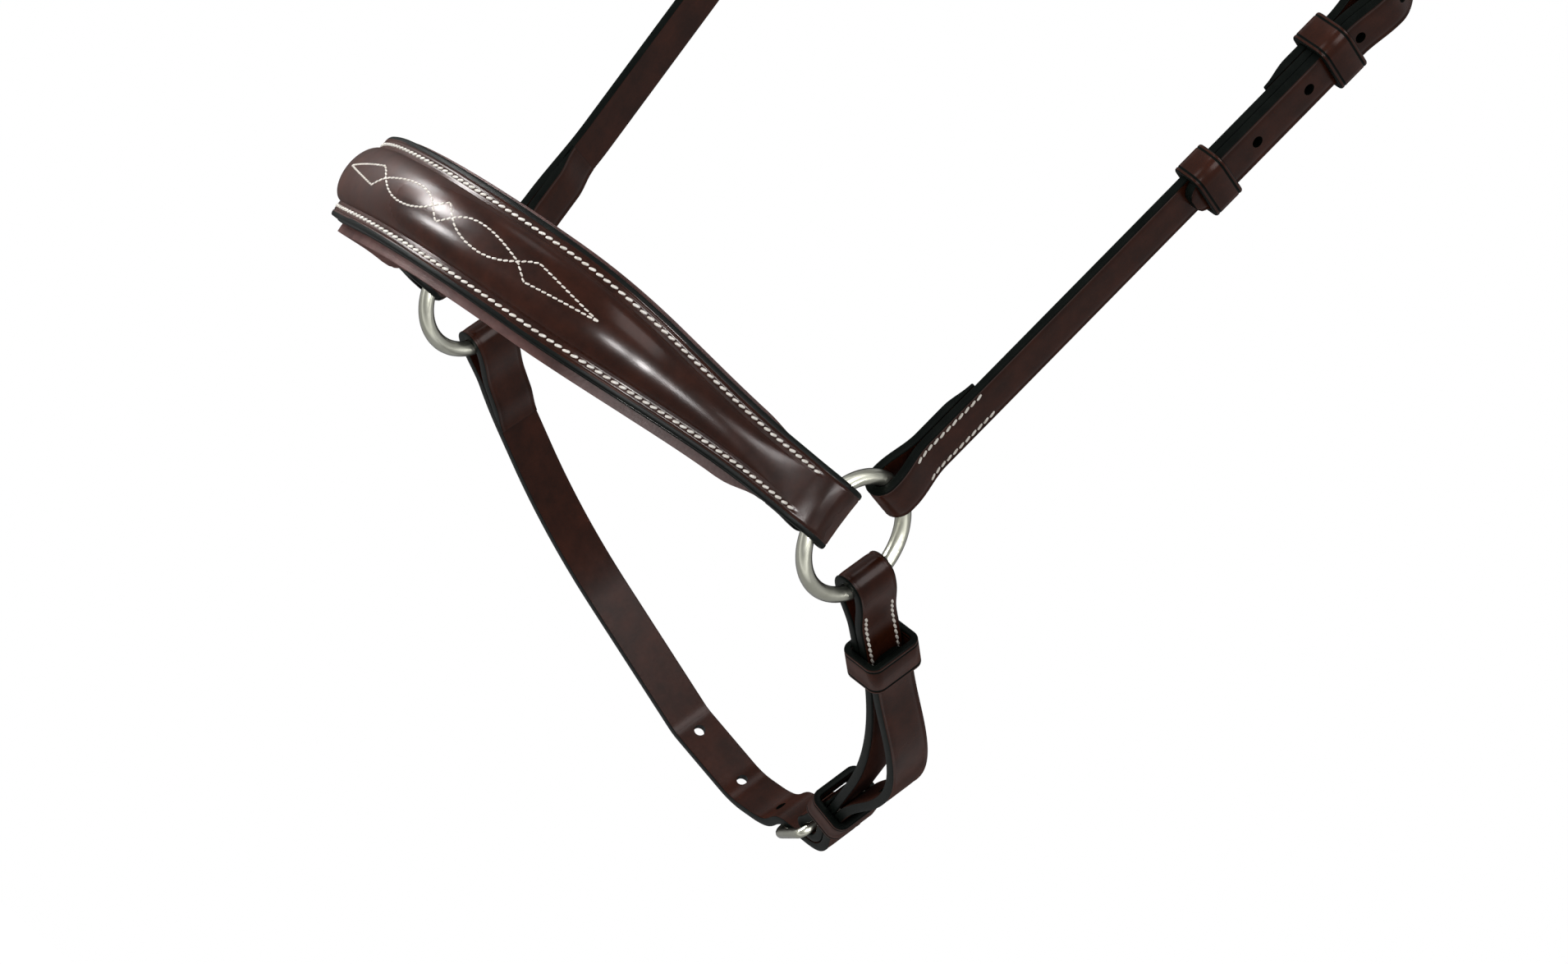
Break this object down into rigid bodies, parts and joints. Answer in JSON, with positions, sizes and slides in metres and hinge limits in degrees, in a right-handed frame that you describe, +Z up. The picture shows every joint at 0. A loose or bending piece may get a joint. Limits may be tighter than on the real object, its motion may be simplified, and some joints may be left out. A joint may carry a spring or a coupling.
{
  "type": "hanoverian noseband",
  "caption": "Horse's drop noseband: a crowned, padded nosepiece on two steel rings, a buckled chin strap and a strap over the poll.",
  "frame": {"origin": "on the underside of the head strap at the middle of the poll, where the horse's head carries it", "axes": "+Z up along the face, +X to the horse's left (the near side, with the buckles), -Y forward over the nose"},
  "size_m": [0.2227, 0.2625, 0.4909],
  "materials": {
    "havana_leather": "polished dark brown bridle leather, black dyed edges",
    "lining_leather": "soft matt red-brown lining leather",
    "padding_foam": "foam",
    "crown_felt": "pressed felt",
    "steel": "satin stainless steel"
  },
  "bodies": {
    "head": {"near_cheek_strap": "havana_leather", "head_strap": "havana_leather", "cheek_fixed_keeper": "havana_leather", "cheek_buckle_frame": "steel"},
    "near_ring": {"near_ring": "steel"},
    "off_ring": {"off_ring": "steel"},
    "nosepiece": {"nosepiece_face": "havana_leather", "nosepiece_core": "crown_felt", "nosepiece_backing": "havana_leather", "nosepiece_padding": "padding_foam", "nosepiece_lining": "lining_leather"},
    "chin": {"near_chin_strap": "havana_leather", "off_chin_strap": "havana_leather", "chin_fixed_keeper": "havana_leather", "chin_buckle_frame": "steel"},
    "cheek_tongue": {"cheek_buckle_tongue": "steel"},
    "chin_tongue": {"chin_buckle_tongue": "steel"},
    "cheek_runner": {"cheek_runner_keeper": "havana_leather"},
    "chin_runner": {"chin_runner_keeper": "havana_leather"}
  },
  "joints": [
    {"name": "near_ring_spin", "type": "hinge", "parent": "head", "child": "near_ring", "pos_m": [0.08524, 0, -0.42772], "axis": [1, 0, 0], "continuous": true},
    {"name": "off_ring_spin", "type": "hinge", "parent": "head", "child": "off_ring", "pos_m": [-0.08524, 0, -0.42772], "axis": [1, 0, 0], "continuous": true},
    {"name": "nosepiece_swing", "type": "hinge", "parent": "head", "child": "nosepiece", "pos_m": [0, 0, -0.42772], "axis": [1, 0, 0], "range_deg": [-25, 40]},
    {"name": "chin_swing", "type": "hinge", "parent": "head", "child": "chin", "pos_m": [0, 0, -0.42772], "axis": [1, 0, 0], "range_deg": [-20, 35]},
    {"name": "cheek_tongue_lift", "type": "hinge", "parent": "head", "child": "cheek_tongue", "pos_m": [0.10468, 0, -0.22549], "axis": [0, 1, 0], "range_deg": [0, 20]},
    {"name": "chin_tongue_lift", "type": "hinge", "parent": "chin", "child": "chin_tongue", "pos_m": [0.03051, 0.13276, -0.47604], "axis": [0, -0.342, -0.9397], "range_deg": [0, 20]},
    {"name": "cheek_runner_slide", "type": "slide", "parent": "head", "child": "cheek_runner", "axis": [0.1045, 0, 0.9945], "range_m": [-0.07, 0.022]},
    {"name": "chin_runner_slide", "type": "slide", "parent": "chin", "child": "chin_runner", "axis": [-0.1293, 0.9318, -0.3392], "range_m": [-0.0045, 0.002]}
  ]
}
